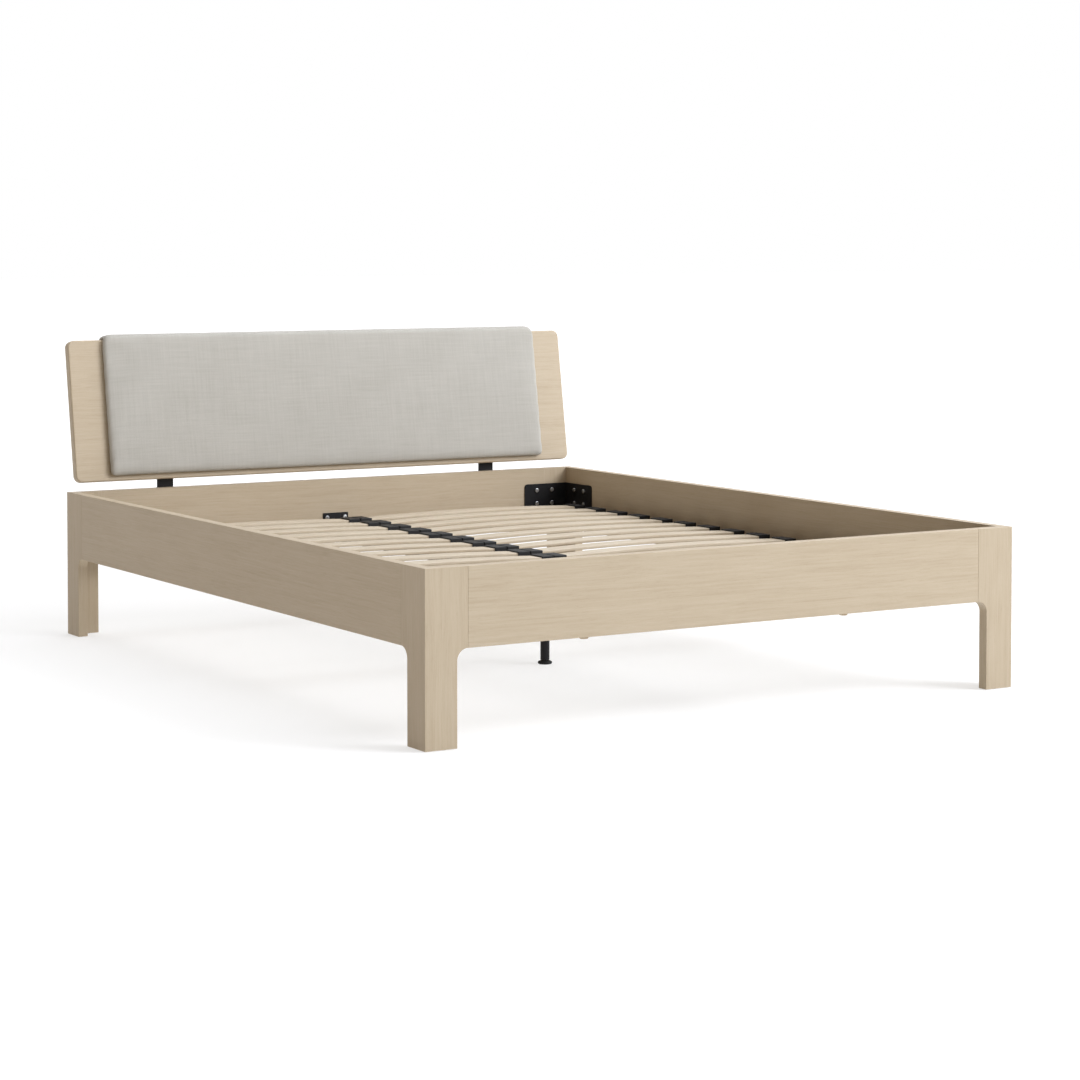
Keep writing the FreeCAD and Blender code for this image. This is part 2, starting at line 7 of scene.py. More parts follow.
import bmesh
import bpy
from mathutils import Euler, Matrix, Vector


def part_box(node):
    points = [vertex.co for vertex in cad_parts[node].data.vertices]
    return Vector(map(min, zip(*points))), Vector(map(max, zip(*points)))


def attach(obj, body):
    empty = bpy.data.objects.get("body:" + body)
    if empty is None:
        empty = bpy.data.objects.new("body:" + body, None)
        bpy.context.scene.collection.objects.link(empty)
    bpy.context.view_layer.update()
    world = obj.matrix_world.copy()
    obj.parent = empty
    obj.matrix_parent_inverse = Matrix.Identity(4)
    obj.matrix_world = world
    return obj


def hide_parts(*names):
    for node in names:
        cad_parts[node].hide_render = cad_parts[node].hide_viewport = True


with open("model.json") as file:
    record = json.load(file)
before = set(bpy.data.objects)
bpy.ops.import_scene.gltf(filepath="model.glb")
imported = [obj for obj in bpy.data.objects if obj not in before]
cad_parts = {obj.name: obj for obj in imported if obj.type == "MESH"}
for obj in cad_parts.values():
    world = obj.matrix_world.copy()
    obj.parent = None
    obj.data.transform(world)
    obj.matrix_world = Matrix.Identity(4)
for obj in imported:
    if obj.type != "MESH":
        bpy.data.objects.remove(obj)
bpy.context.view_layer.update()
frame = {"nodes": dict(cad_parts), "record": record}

log = logging.getLogger("bed_frame")

Colour = tuple[float, float, float]

# The headboard's own directions: across the bed, up the leaning board and back through it.
LEAN = math.radians(9.0)
UP_BOARD = Vector((0.0, math.sin(LEAN), math.cos(LEAN)))
INTO_BOARD = Vector((0.0, math.cos(LEAN), -math.sin(LEAN)))


class Grain(Enum):
    """The direction that the grain of a board runs in."""

    ACROSS = (0, 1, 2)
    ALONG = (1, 0, 2)
    UPRIGHT = (2, 0, 1)


class ShaderSketch:
    """Adds shader nodes to one material and joins them."""

    def __init__(self, name: str) -> None:
        """Starts a material that holds one principled shader.

        Args:
            name: The material's name.
        """
        self.material = bpy.data.materials.new(name)
        self.material.use_nodes = True
        self.tree = self.material.node_tree
        self.tree.nodes.clear()
        self.shader = self.add("ShaderNodeBsdfPrincipled")
        output = self.add("ShaderNodeOutputMaterial")
        self.tree.links.new(self.shader.outputs["BSDF"], output.inputs["Surface"])

    def add(self, kind: str, **settings: object) -> bpy.types.Node:
        """Adds one node.

        Args:
            kind: The node's Blender type.
            settings: Properties to set on it.

        Returns:
            The new node.
        """
        node = self.tree.nodes.new(kind)
        for key, value in settings.items():
            setattr(node, key, value)
        return node

    def feed(self, socket: bpy.types.NodeSocket, value: object) -> None:
        """Joins a socket to another, or sets its constant value.

        Args:
            socket: The input socket.
            value: A socket to join it to, or its value.
        """
        if isinstance(value, bpy.types.NodeSocket):
            self.tree.links.new(value, socket)
        else:
            socket.default_value = value

    def sum(self, operation: str, *values: object) -> bpy.types.NodeSocket:
        """One math node.

        Args:
            operation: The math node's operation.
            values: Its inputs, sockets or numbers.

        Returns:
            Its output socket.
        """
        node = self.add("ShaderNodeMath", operation=operation)
        for socket, value in zip(node.inputs, values):
            self.feed(socket, value)
        return node.outputs[0]

    def total(self, *values: object) -> bpy.types.NodeSocket:
        """Adds up two or more values.

        Args:
            values: Sockets or numbers.

        Returns:
            The socket of their sum.
        """
        answer = values[0]
        for value in values[1:]:
            answer = self.sum("ADD", answer, value)
        return answer

    def weigh(self, amount: object, strength: float) -> bpy.types.NodeSocket:
        """Noise about zero, times a strength."""
        return self.sum("MULTIPLY", self.sum("SUBTRACT", amount, 0.5), strength)

    def along(self, direction: Vector) -> bpy.types.NodeSocket:
        """How far each point lies along a direction, in metres, on Object coordinates.

        Args:
            direction: A unit direction.

        Returns:
            The distance.
        """
        coordinates = self.add("ShaderNodeTexCoord")
        dot = self.add("ShaderNodeVectorMath", operation="DOT_PRODUCT")
        self.feed(dot.inputs[0], coordinates.outputs["Object"])
        dot.inputs[1].default_value = direction
        return dot.outputs["Value"]

    def vector(self, *parts: object) -> bpy.types.NodeSocket:
        """A vector from three sockets or numbers.

        Args:
            parts: Its x, y and z.

        Returns:
            The vector.
        """
        node = self.add("ShaderNodeCombineXYZ")
        for socket, part in zip(node.inputs, parts):
            self.feed(socket, part)
        return node.outputs[0]

    def stretched(self, *parts: tuple[object, float]) -> bpy.types.NodeSocket:
        """A vector of three values, each times its own scale."""
        return self.vector(*(self.sum("MULTIPLY", part, scale) for part, scale in parts))

    def scaled(self, scale: float) -> bpy.types.NodeSocket:
        """Object coordinates times a scale.

        Args:
            scale: The scale, in waves a metre or so.

        Returns:
            The scaled coordinates.
        """
        node = self.add("ShaderNodeVectorMath", operation="SCALE")
        self.feed(node.inputs[0], self.add("ShaderNodeTexCoord").outputs["Object"])
        node.inputs["Scale"].default_value = scale
        return node.outputs[0]

    def noise(self, point: object, detail: float = 2.0, roughness: float = 0.5) -> bpy.types.NodeSocket:
        """Noise of scale 1 at a point that is already scaled.

        Args:
            point: The scaled point.
            detail: How many finer layers it has.
            roughness: How strong those layers are.

        Returns:
            The noise, from 0 to 1.
        """
        node = self.add("ShaderNodeTexNoise")
        self.feed(node.inputs["Vector"], point)
        node.inputs["Scale"].default_value = 1.0
        node.inputs["Detail"].default_value = detail
        node.inputs["Roughness"].default_value = roughness
        return node.outputs["Fac"]

    def ramp(self, amount: object, stops: list[tuple[float, Colour]]) -> bpy.types.NodeSocket:
        """A colour ramp with the given stops.

        Args:
            amount: What picks the colour, from 0 to 1.
            stops: Each stop's position and colour.

        Returns:
            The colour.
        """
        node = self.add("ShaderNodeValToRGB")
        elements = node.color_ramp.elements
        while len(elements) < len(stops):
            elements.new(0.5)
        for element, (position, colour) in zip(elements, stops):
            element.position = position
            element.color = (*colour, 1.0)
        self.feed(node.inputs["Fac"], amount)
        return node.outputs["Color"]

    def bump(self, height: object, depth: float, strength: float = 1.0) -> None:
        """Gives the shader a relief of that height, in metres.

        Args:
            height: The relief, from 0 to 1 or so.
            depth: The height that 1 stands for.
            strength: How much of it shows.
        """
        node = self.add("ShaderNodeBump")
        node.inputs["Strength"].default_value = strength
        node.inputs["Distance"].default_value = depth
        self.feed(node.inputs["Height"], height)
        self.feed(self.shader.inputs["Normal"], node.outputs["Normal"])


@dataclass(frozen=True)
class Streak:
    """Noise drawn out along the grain: its scale along the board, its scale across it and its detail."""

    slow: float
    fine: float
    detail: float

    def draw(self, sketch: ShaderSketch, run: object, wide: object, deep: object) -> bpy.types.NodeSocket:
        """Noise at a place along, across and into the board."""
        point = sketch.stretched((run, self.slow), (wide, self.fine), (deep, self.fine))
        return sketch.noise(point, self.detail)


WANDER = Streak(1.3, 5.0, 3.0)
FIGURE = Streak(7.0, 26.0, 2.0)
BANDS = Streak(2.2, 95.0, 4.0)
FIBRE = Streak(11.0, 520.0, 4.0)
PORES = Streak(55.0, 1500.0, 1.0)


@dataclass(frozen=True)
class Wood:
    """A planed board: growth rings cut by the face, soft bands, fine fibre and short pores."""

    name: str
    pale: Colour
    warm: Colour
    dark: Colour
    roughness: float = 0.5
    ring_pitch: float = 0.0045
    ring_strength: float = 0.1
    band_strength: float = 0.5
    fibre_strength: float = 0.55
    pore_strength: float = 0.16
    figure_strength: float = 0.3
    apart: float = 3.7
    wander: float = 0.05
    wander_depth: float = 0.6
    pore_limit: float = 0.64
    pith_depth: float = 0.30
    pith_spread: float = 0.05
    pith_aside: float = 0.04
    gloss_spread: float = 0.16
    specular: float = 0.35
    relief: float = 0.00025

    def material(self, grain: Grain, board: int) -> bpy.types.Material:
        """The finish on one board.

        Args:
            grain: The direction of the grain.
            board: A number that gives each board its own part of the tree.

        Returns:
            The material.
        """
        sketch = ShaderSketch(f"{self.name}_{grain.name.lower()}_{board}")
        axes = [Vector([1.0 if axis == number else 0.0 for number in range(3)]) for axis in grain.value]
        run, wide, deep = (sketch.along(axis) for axis in axes)
        run = sketch.sum("ADD", run, self.apart * board)
        drift = sketch.weigh(WANDER.draw(sketch, run, wide, deep), self.wander)
        wide = sketch.sum("ADD", wide, drift)
        deep = sketch.sum("ADD", deep, sketch.sum("MULTIPLY", drift, self.wander_depth))
        figure = FIGURE.draw(sketch, run, wide, deep)
        bands = BANDS.draw(sketch, run, wide, deep)
        fibre = FIBRE.draw(sketch, run, wide, deep)
        pits = sketch.sum("GREATER_THAN", PORES.draw(sketch, run, wide, deep), self.pore_limit)
        tone = sketch.total(0.5, self.rings(sketch, wide, deep, board),
                            sketch.weigh(figure, self.figure_strength),
                            sketch.weigh(bands, self.band_strength), sketch.weigh(fibre, self.fibre_strength),
                            sketch.sum("MULTIPLY", pits, self.pore_strength), self.layers(sketch))
        colour = sketch.ramp(tone, [(0.12, self.pale), (0.52, self.warm), (1.0, self.dark)])
        sketch.feed(sketch.shader.inputs["Base Color"], colour)
        gloss = sketch.sum("ADD", self.roughness, sketch.weigh(fibre, self.gloss_spread))
        sketch.feed(sketch.shader.inputs["Roughness"], gloss)
        sketch.shader.inputs["Specular IOR Level"].default_value = self.specular
        relief = sketch.sum("SUBTRACT", sketch.weigh(fibre, 1.0), sketch.sum("MULTIPLY", pits, 0.5))
        sketch.bump(relief, self.relief, 0.5)
        return sketch.material

    def rings(self, sketch: ShaderSketch, wide: object, deep: object, board: int) -> bpy.types.NodeSocket:
        """Growth rings round a pith that lies behind the board.

        Args:
            sketch: The material being made.
            wide: The place across the board.
            deep: The place into it.
            board: The board's number.

        Returns:
            The darkness to add.
        """
        pith = self.pith_depth + self.pith_spread * math.sin(board * 2.1)
        side = sketch.sum("ADD", wide, self.pith_aside * math.cos(board * 1.7))
        depth = sketch.sum("ADD", deep, pith)
        reach = sketch.sum("SQRT", sketch.sum("ADD", sketch.sum("POWER", side, 2.0),
                                              sketch.sum("POWER", depth, 2.0)))
        wave = sketch.sum("SINE", sketch.sum("MULTIPLY", reach, 2 * math.pi / self.ring_pitch))
        return sketch.sum("MULTIPLY", wave, self.ring_strength * 0.3)

    def layers(self, sketch: ShaderSketch) -> object:
        """Darkness from glued layers, which solid wood hasn't got."""
        return 0.0


@dataclass(frozen=True)
class Plywood(Wood):
    """Bowed plywood, whose rounded edges cut through its glued layers."""

    ply: float = 0.0013
    ply_strength: float = 0.42
    middle: float = 0.4
    reach: float = 0.392
    camber: float = 0.009
    crown: float = 0.312

    def layers(self, sketch: ShaderSketch) -> bpy.types.NodeSocket:
        """Darkness of every second layer, counted down from the bowed upper face.

        Args:
            sketch: The material being made.

        Returns:
            The darkness to add.
        """
        sideways = sketch.sum("ABSOLUTE", sketch.along(Vector((1.0, 0.0, 0.0))))
        place = sketch.sum("DIVIDE", sketch.sum("SUBTRACT", sideways, self.middle), self.reach)
        fall = sketch.sum("MULTIPLY", sketch.sum("POWER", place, 2.0), self.camber)
        height = sketch.sum("ADD", sketch.along(Vector((0.0, 0.0, 1.0))), fall)
        depth = sketch.sum("SUBTRACT", self.crown + self.ply / 5, height)
        wave = sketch.sum("SINE", sketch.sum("MULTIPLY", depth, math.pi / self.ply))
        return sketch.sum("MULTIPLY", sketch.sum("LESS_THAN", wave, 0.0), self.ply_strength)


@dataclass(frozen=True)
class Linen:
    """A plain linen-look weave with thick and thin yarns both ways."""

    name: str
    light: Colour
    mid: Colour
    shade: Colour
    pitch: float = 0.0012
    yarn: tuple[float, float] = (430.0, 11.0)
    slub: tuple[float, float] = (150.0, 5.0)
    slub_share: float = 0.4
    cloud: float = 7.0
    yarn_strength: float = 0.55
    cloud_strength: float = 0.25
    weave_strength: float = -0.10

    def material(self) -> bpy.types.Material:
        """The cloth, with its yarns across the board and up it.

        Returns:
            The material.
        """
        sketch = ShaderSketch(self.name)
        across = sketch.along(Vector((1.0, 0.0, 0.0)))
        up = sketch.along(UP_BOARD + INTO_BOARD)
        warp = self.slubs(sketch, across, up)
        weft = self.slubs(sketch, up, across)
        cloud = sketch.noise(sketch.stretched((across, self.cloud), (up, self.cloud), (0.0, 1.0)))
        weave = self.weave(sketch, across, up)
        tone = sketch.total(0.5, sketch.weigh(warp, self.yarn_strength),
                            sketch.weigh(weft, self.yarn_strength),
                            sketch.weigh(cloud, self.cloud_strength),
                            sketch.sum("MULTIPLY", weave, self.weave_strength))
        colour = sketch.ramp(tone, [(0.15, self.shade), (0.5, self.mid), (0.85, self.light)])
        sketch.feed(sketch.shader.inputs["Base Color"], colour)
        sketch.shader.inputs["Roughness"].default_value = 0.92
        sketch.shader.inputs["Specular IOR Level"].default_value = 0.2
        sketch.shader.inputs["Sheen Weight"].default_value = 0.25
        sketch.shader.inputs["Sheen Roughness"].default_value = 0.5
        height = sketch.sum("ADD", weave, sketch.sum("ADD", warp, weft))
        sketch.bump(height, 0.0004, 0.6)
        return sketch.material

    def slubs(self, sketch: ShaderSketch, over: object, run: object) -> bpy.types.NodeSocket:
        """Yarns of uneven thickness that run one way.

        Args:
            sketch: The material being made.
            over: The place across the yarns.
            run: The place along them.

        Returns:
            The yarns, from 0 to 1.
        """
        fine = sketch.noise(sketch.stretched((over, self.yarn[0]), (run, self.yarn[1]), (0.0, 1.0)), 2.0)
        coarse = sketch.noise(sketch.stretched((over, self.slub[0]), (run, self.slub[1]), (3.0, 1.0)), 1.0)
        return sketch.sum("ADD", sketch.sum("MULTIPLY", fine, 1.0 - self.slub_share),
                          sketch.sum("MULTIPLY", coarse, self.slub_share))

    def weave(self, sketch: ShaderSketch, across: object, up: object) -> bpy.types.NodeSocket:
        """The over and under of the yarns.

        Args:
            sketch: The material being made.
            across: The place across the board.
            up: The place up it.

        Returns:
            The weave, from -1 to 1.
        """
        turns = math.pi / self.pitch
        one = sketch.sum("SINE", sketch.sum("MULTIPLY", across, turns))
        other = sketch.sum("SINE", sketch.sum("MULTIPLY", up, turns))
        return sketch.sum("MULTIPLY", one, other)


@dataclass(frozen=True)
class Coating:
    """A metal, paint or moulded plastic with a fine surface of its own."""

    name: str
    colour: Colour
    roughness: float
    metallic: float = 0.0
    specular: float = 0.5
    mottle: float = 0.12
    grain: float = 900.0
    relief: float = 0.00008
    cloud: float = 22.0
    gloss_spread: float = 0.2

    def material(self) -> bpy.types.Material:
        """The finish, uneven in colour and gloss.

        Returns:
            The material.
        """
        sketch = ShaderSketch(self.name)
        fine = sketch.noise(sketch.scaled(self.grain), 3.0)
        broad = sketch.noise(sketch.scaled(self.cloud), 3.0)
        low = tuple(part * (1 - self.mottle) for part in self.colour)
        high = tuple(min(1.0, part * (1 + self.mottle)) for part in self.colour)
        mixed = sketch.sum("ADD", sketch.sum("MULTIPLY", fine, 0.5), sketch.sum("MULTIPLY", broad, 0.5))
        sketch.feed(sketch.shader.inputs["Base Color"], sketch.ramp(mixed, [(0.3, low), (0.7, high)]))
        gloss = sketch.sum("ADD", self.roughness, sketch.weigh(broad, self.gloss_spread))
        sketch.feed(sketch.shader.inputs["Roughness"], gloss)
        sketch.shader.inputs["Metallic"].default_value = self.metallic
        sketch.shader.inputs["Specular IOR Level"].default_value = self.specular
        sketch.bump(fine, self.relief, 0.5)
        return sketch.material


FRAME_WOOD = Wood("frame_wood", (0.500, 0.420, 0.313), (0.449, 0.366, 0.259), (0.364, 0.284, 0.186))
SUPPORT_WOOD = Wood("support_wood", (0.52, 0.43, 0.31), (0.46, 0.365, 0.25), (0.33, 0.235, 0.14),
                    ring_pitch=0.005, ring_strength=0.6, roughness=0.62)
SLAT_BIRCH = Plywood("slat_birch", (0.56, 0.49, 0.385), (0.50, 0.425, 0.32), (0.39, 0.31, 0.215),
                     ring_pitch=0.011, ring_strength=0.3, roughness=0.5)
PAD_LINEN = Linen("pad_linen", (0.495, 0.478, 0.432), (0.432, 0.415, 0.376), (0.355, 0.337, 0.295))
BLACK_STEEL = Coating("black_steel", (0.010, 0.010, 0.011), 0.45, specular=0.22, grain=1400.0)
ZINC = Coating("zinc_plate", (0.56, 0.57, 0.58), 0.32, metallic=1.0, grain=500.0)
BLACK_NYLON = Coating("black_nylon", (0.012, 0.012, 0.013), 0.55, specular=0.25, grain=1100.0)
STEEL_THREAD = Coating("bright_thread", (0.50, 0.51, 0.52), 0.28, metallic=1.0, grain=700.0)
GREY_NYLON = Coating("grey_nylon", (0.42, 0.41, 0.39), 0.6, grain=1100.0)
THREAD = Coating("seam_thread", (0.60, 0.585, 0.54), 0.8, grain=2500.0)


def dress(obj: bpy.types.Object, material: bpy.types.Material) -> None:
    """Gives every material slot of an object the same material.

    Args:
        obj: The object.
        material: Its material.
    """
    if not obj.material_slots:
        obj.data.materials.append(material)
    for material_slot in obj.material_slots:
        material_slot.material = material


def plain_mesh(source: bpy.types.Object, name: str) -> bpy.types.Object:
    """Turns an object and its modifiers into a new object with a plain mesh, and removes the old one.

    Args:
        source: The object to bake down.
        name: The new object's name.

    Returns:
        The new object, at the origin.
    """
    graph = bpy.context.evaluated_depsgraph_get()
    graph.update()
    mesh = bpy.data.meshes.new_from_object(source.evaluated_get(graph))
    bpy.data.objects.remove(source, do_unlink=True)
    mesh.name = name
    made = bpy.data.objects.new(name, mesh)
    bpy.context.scene.collection.objects.link(made)
    return made


def object_from(name: str, build: bmesh.types.BMesh) -> bpy.types.Object:
    """Makes a linked object from a bmesh and frees the bmesh.

    Args:
        name: Its name.
        build: The bmesh.

    Returns:
        The new object.
    """
    mesh = bpy.data.meshes.new(name)
    build.to_mesh(mesh)
    build.free()
    made = bpy.data.objects.new(name, mesh)
    bpy.context.scene.collection.objects.link(made)
    return made


def loft(name: str, rings: list[list[Vector]]) -> bpy.types.Object:
    """Joins rings of points, all of one count, into a closed skin with flat ends.

    Args:
        name: The new object's name.
        rings: The rings, from one end to the other.

    Returns:
        The new object.
    """
    build = bmesh.new()
    loops = [[build.verts.new(point) for point in ring] for ring in rings]
    for near, far in zip(loops, loops[1:]):
        for number in range(len(near)):
            after = (number + 1) % len(near)
            build.faces.new([near[number], near[after], far[after], far[number]])
    build.faces.new(list(reversed(loops[0])))
    build.faces.new(loops[-1])
    bmesh.ops.recalc_face_normals(build, faces=build.faces)
    return object_from(name, build)


def join(tree: bpy.types.NodeTree,
         links: tuple[tuple[bpy.types.NodeSocket, bpy.types.NodeSocket], ...]) -> None:
    """Joins pairs of sockets, each from an output to an input."""
    for start, end in links:
        tree.links.new(start, end)


def run_nodes(obj: bpy.types.Object, tree: bpy.types.GeometryNodeTree, values: dict[str, float]) -> None:
    """Gives an object a Geometry Nodes modifier, with the tree's named inputs set by socket identifier.

    Args:
        obj: The object.
        tree: The node tree.
        values: The value of each named input.
    """
    modifier = obj.modifiers.new("row", "NODES")
    modifier.node_group = tree
    for item in tree.interface.items_tree:
        if item.item_type == "SOCKET" and item.in_out == "INPUT" and item.name in values:
            modifier[item.identifier] = values[item.name]


@dataclass
class Woodwork:
    """Every visible board, each with its own piece of grain."""

    finish: Wood = FRAME_WOOD
    support: Wood = SUPPORT_WOOD
    slats: Wood = SLAT_BIRCH

    def grain_of(self, node: str) -> Grain:
        """The direction of a board's grain, from what the board is.

        Args:
            node: The board's node.

        Returns:
            The direction.
        """
        if node.startswith("leg_") or node.endswith("_peg"):
            return Grain.UPRIGHT
        if node.startswith("side_") or node.endswith("_stringer"):
            return Grain.ALONG
        return Grain.ACROSS

    def finish_of(self, slot: str) -> Wood:
        """The finish of a record slot."""
        return {"frame_wood": self.finish, "support_wood": self.support, "slat_birch": self.slats}[slot]

    def dress_boards(self, slots: dict[str, str]) -> None:
        """Finishes every wooden node.

        Args:
            slots: Each node's material slot.
        """
        woods = ("frame_wood", "support_wood", "slat_birch")
        wooden = [node for node in sorted(slots) if slots[node] in woods]
        for number, node in enumerate(wooden):
            grain = self.grain_of(node)
            dress(frame["nodes"][node], self.finish_of(slots[node]).material(grain, number))
            log.info("dressed %s, grain %s", node, grain.name.lower())


@dataclass
class SlatRow:
    """One base's bowed slats, with rounded long edges, repeated along the bed by Geometry Nodes."""

    side: str
    count: int = 16
    width: float = 0.060
    thick: float = 0.008
    edge: float = 0.0026
    corner_steps: int = 4
    stations: int = 24

    def section(self) -> list[tuple[float, float]]:
        """The slat's rounded section about its middle, as (y, z) points.

        Returns:
            The points, in order round the section.
        """
        points = []
        for number, (side, rise) in enumerate(((1, 1), (-1, 1), (-1, -1), (1, -1))):
            centre_y = side * (self.width / 2 - self.edge)
            centre_z = rise * (self.thick / 2 - self.edge)
            for step in range(self.corner_steps + 1):
                angle = math.pi / 2 * (number + step / self.corner_steps)
                points.append((centre_y + self.edge * math.cos(angle),
                               centre_z + self.edge * math.sin(angle)))
        return points

    def first_slat(self, low: Vector, high: Vector) -> bpy.types.Object:
        """The slat nearest the foot end.

        Args:
            low: The lowest corner of the row's box.
            high: The highest corner of the row's box.

        Returns:
            The slat, in its place.
        """
        camber = high.z - low.z - self.thick
        rings = []
        for station in range(self.stations + 1):
            share = station / self.stations
            bow = camber * (1.0 - (2.0 * share - 1.0) ** 2)
            x = low.x + (high.x - low.x) * share
            rings.append([Vector((x, low.y + self.width / 2 + y, low.z + self.thick / 2 + bow + z))
                          for y, z in self.section()])
        return loft(f"{self.side}_first_slat", rings)

    def tree(self, material: bpy.types.Material) -> bpy.types.GeometryNodeTree:
        """The node tree that repeats the first slat.

        Args:
            material: The slats' material.

        Returns:
            The tree, with the count and the pitch as named inputs.
        """
        tree = bpy.data.node_groups.new(f"{self.side}_slat_row", "GeometryNodeTree")
        tree.interface.new_socket("Geometry", in_out="INPUT", socket_type="NodeSocketGeometry")
        tree.interface.new_socket("Count", in_out="INPUT", socket_type="NodeSocketInt")
        tree.interface.new_socket("Pitch", in_out="INPUT", socket_type="NodeSocketFloat")
        tree.interface.new_socket("Geometry", in_out="OUTPUT", socket_type="NodeSocketGeometry")
        nodes = tree.nodes
        inputs = nodes.new("NodeGroupInput")
        row = nodes.new("GeometryNodeMeshLine")
        step = nodes.new("ShaderNodeCombineXYZ")
        lay = nodes.new("GeometryNodeInstanceOnPoints")
        real = nodes.new("GeometryNodeRealizeInstances")
        paint = nodes.new("GeometryNodeSetMaterial")
        paint.inputs["Material"].default_value = material
        output = nodes.new("NodeGroupOutput")
        join(tree, (
            (inputs.outputs["Count"], row.inputs["Count"]),
            (inputs.outputs["Pitch"], step.inputs["Y"]),
            (step.outputs[0], row.inputs["Offset"]),
            (row.outputs[0], lay.inputs["Points"]),
            (inputs.outputs["Geometry"], lay.inputs["Instance"]),
            (lay.outputs[0], real.inputs[0]),
            (real.outputs[0], paint.inputs["Geometry"]),
            (paint.outputs[0], output.inputs[0]),
        ))
        return tree

    def build(self, board: int) -> bpy.types.Object:
        """Makes the row in place of the plain slats.

        Args:
            board: A number that gives the slats their own part of the tree.

        Returns:
            The slats, as one mesh.
        """
        low, high = (Vector(corner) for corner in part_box(f"{self.side}_slats"))
        finish = replace(SLAT_BIRCH, middle=abs(low.x + high.x) / 2, reach=(high.x - low.x) / 2,
                         camber=high.z - low.z - self.thick, crown=high.z)
        slat = self.first_slat(low, high)
        tree = self.tree(finish.material(Grain.ACROSS, board))
        values = {"Count": self.count, "Pitch": (high.y - low.y - self.width) / (self.count - 1)}
        run_nodes(slat, tree, values)
        slats = plain_mesh(slat, f"{self.side}_bowed_slats")
        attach(slats, f"{self.side}_base")
        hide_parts(f"{self.side}_slats")
        log.info("made %s, %d faces", slats.name, len(slats.data.polygons))
        return slats


@dataclass
class Ironwork:
    """The steel and moulded pieces."""

    finishes: dict[str, Coating] = field(default_factory=lambda: {
        "black_steel": BLACK_STEEL,
        "zinc_steel": ZINC,
        "black_nylon": BLACK_NYLON,
        "grey_nylon": GREY_NYLON,
    })

    def dress_pieces(self, slots: dict[str, str]) -> None:
        """Finishes every steel and plastic node.

        Args:
            slots: Each node's material slot.
        """
        made = {slot: finish.material() for slot, finish in self.finishes.items()}
        for node, slot in slots.items():
            if slot in made:
                dress(frame["nodes"][node], made[slot])
                log.info("dressed %s", node)


